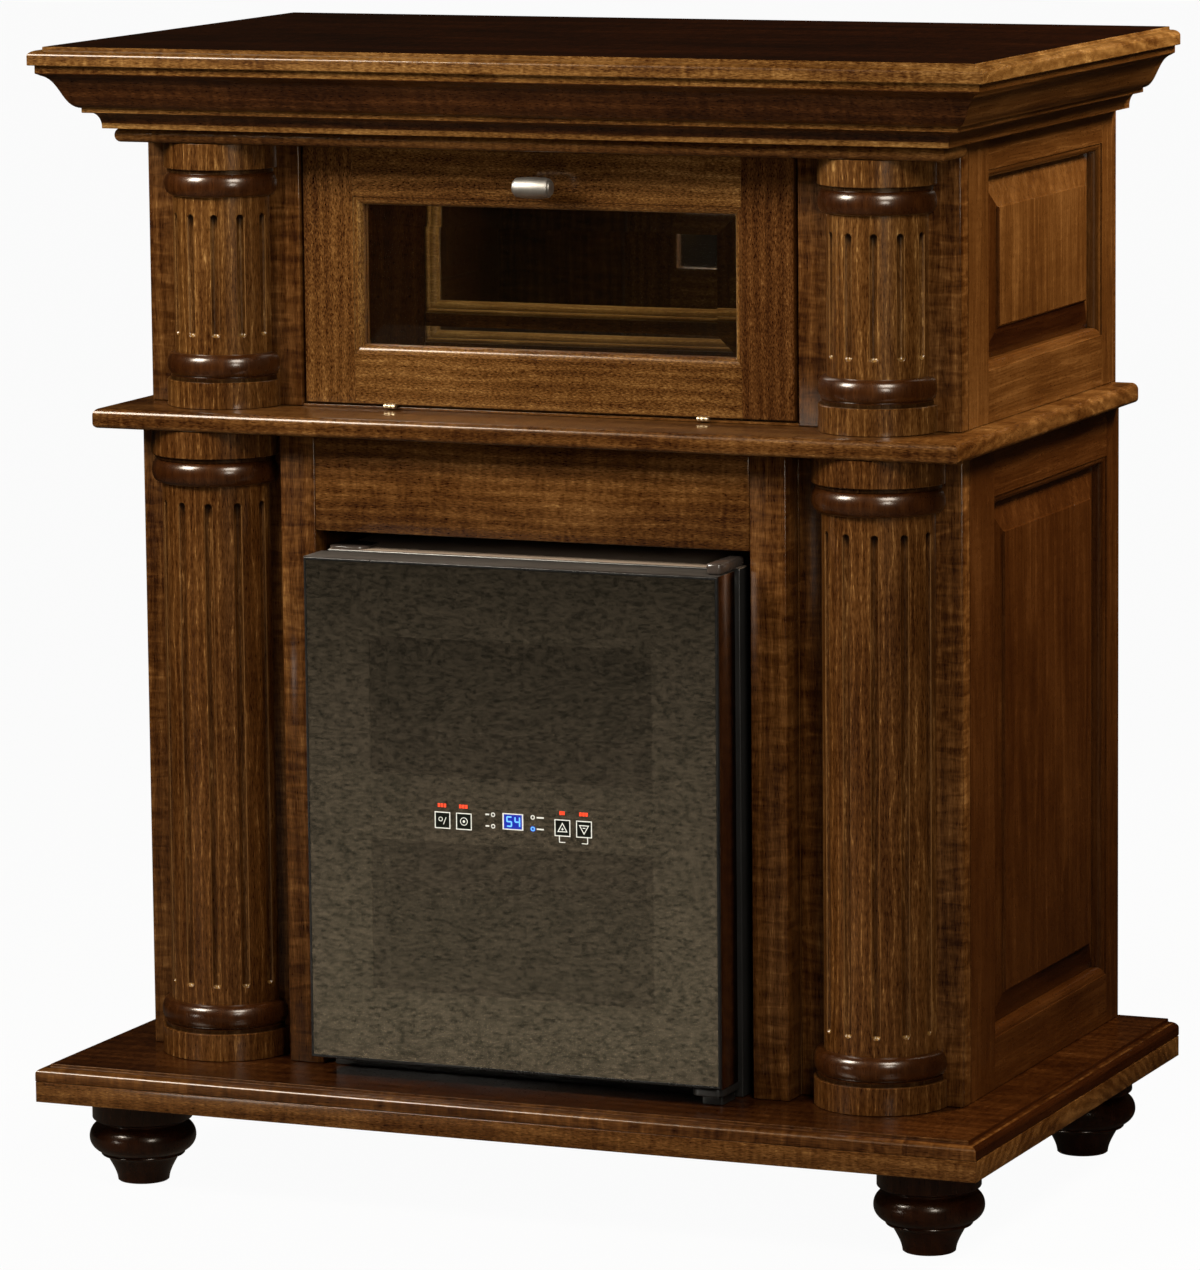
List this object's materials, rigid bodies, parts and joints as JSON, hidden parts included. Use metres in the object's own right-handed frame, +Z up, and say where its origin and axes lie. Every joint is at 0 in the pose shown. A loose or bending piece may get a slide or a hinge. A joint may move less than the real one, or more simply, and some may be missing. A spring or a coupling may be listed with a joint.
{
  "type": "wine cabinet",
  "caption": "Columned wooden wine cabinet on bun feet: drop-front glazed stemware bay with mirror back over a bay holding a glass-door wine cooler.",
  "frame": {"origin": "centre of the footprint on the floor, under the feet", "axes": "+Z up, -Y out of the front, +X to the right as seen from the front"},
  "size_m": [1, 0.608, 1.143],
  "materials": {
    "case_wood": "satin",
    "panel_wood": "satin",
    "column_wood": "satin",
    "top_wood": "satin",
    "door_wood": "satin",
    "foot_wood": "gloss",
    "back_wood": "matte",
    "clear_glass": "gloss",
    "smoked_glass": "gloss",
    "mirror_silver": "gloss",
    "hinge_brass": "satin",
    "knob_nickel": "satin",
    "cooler_black": "matte",
    "cooler_trim": "satin",
    "gasket_rubber": "matte",
    "shelf_chrome": "gloss",
    "catch_plastic": "matte"
  },
  "bodies": {
    "cabinet": {"back_panel": "back_wood", "base_board": "top_wood", "base_frame": "case_wood", "bay_partition_left": "case_wood", "bay_partition_right": "case_wood", "bay_rail": "case_wood", "bay_stile_left": "case_wood", "bay_stile_right": "case_wood", "ceiling_panel": "case_wood", "cooler_case": "cooler_black", "cooler_fan_cover": "cooler_black", "cooler_hinge_cover": "cooler_black", "cooler_lower_hinge": "cooler_black", "cooler_shelf_1": "shelf_chrome", "cooler_shelf_2": "shelf_chrome", "crown_front": "case_wood", "crown_left": "case_wood", "crown_right": "case_wood", "door_catch": "catch_plastic", "door_sill": "door_wood", "foot_back_left": "foot_wood", "foot_back_right": "foot_wood", "foot_front_left": "foot_wood", "foot_front_right": "foot_wood", "frieze_shelf": "case_wood", "hinge_fixed_left": "hinge_brass", "hinge_fixed_right": "hinge_brass", "ledge": "top_wood", "lower_column_left": "column_wood", "lower_column_right": "column_wood", "lower_pilaster_left": "case_wood", "lower_pilaster_right": "case_wood", "lower_side_left_frame": "case_wood", "lower_side_left_panel": "panel_wood", "lower_side_right_frame": "case_wood", "lower_side_right_panel": "panel_wood", "mirror": "mirror_silver", "mirror_frame": "case_wood", "stemware_rack": "case_wood", "top_board": "top_wood", "upper_column_left": "column_wood", "upper_column_right": "column_wood", "upper_pilaster_left": "case_wood", "upper_pilaster_right": "case_wood", "upper_side_left_frame": "case_wood", "upper_side_left_panel": "panel_wood", "upper_side_right_frame": "case_wood", "upper_side_right_panel": "panel_wood"},
    "display_door": {"door_glass": "clear_glass", "door_knob": "knob_nickel", "door_rail_bottom": "door_wood", "door_rail_top": "door_wood", "door_stile_left": "door_wood", "door_stile_right": "door_wood", "hinge_leaf_left": "hinge_brass", "hinge_leaf_right": "hinge_brass"},
    "cooler_door": {"cooler_control_bar": "cooler_black", "cooler_door_frame": "cooler_trim", "cooler_door_glass": "smoked_glass", "cooler_gasket": "gasket_rubber"}
  },
  "joints": [
    {"name": "display_door_hinge", "type": "hinge", "parent": "cabinet", "child": "display_door", "pos_m": [0, -0.1546, 0.78685], "axis": [1, 0, 0], "range_deg": [0, 90]},
    {"name": "cooler_door_hinge", "type": "hinge", "parent": "cabinet", "child": "cooler_door", "pos_m": [0.2115, -0.2289, 0.3975], "axis": [0, 0, 1], "range_deg": [0, 100]}
  ]
}
